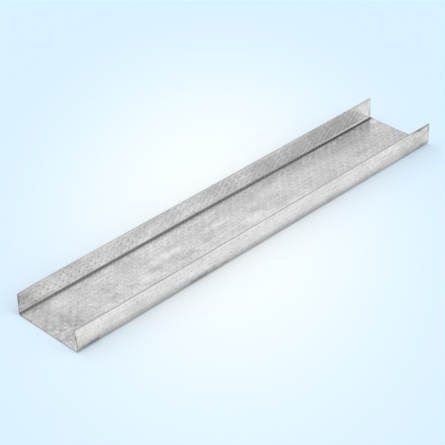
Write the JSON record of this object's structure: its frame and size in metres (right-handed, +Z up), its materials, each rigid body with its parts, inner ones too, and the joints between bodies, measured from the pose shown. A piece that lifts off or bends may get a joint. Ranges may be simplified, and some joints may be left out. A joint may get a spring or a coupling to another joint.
{
  "type": "drywall track channel",
  "caption": "Short length of roll-formed U-section drywall track in thin galvanised sheet, with a flat web, two plain flanges and square-cut ends.",
  "frame": {"origin": "on the underside of the web, halfway along and halfway across", "axes": "+X along the length, +Z up out of the open side of the channel, Y across the web"},
  "size_m": [0.612, 0.1, 0.031],
  "materials": {
    "galvanised_sheet": "hot-dip galvanised steel sheet, semi-bright, with a regular pattern of small rolled-in dimples"
  },
  "bodies": {
    "root": {"track_channel": "galvanised_sheet"}
  },
  "joints": []
}
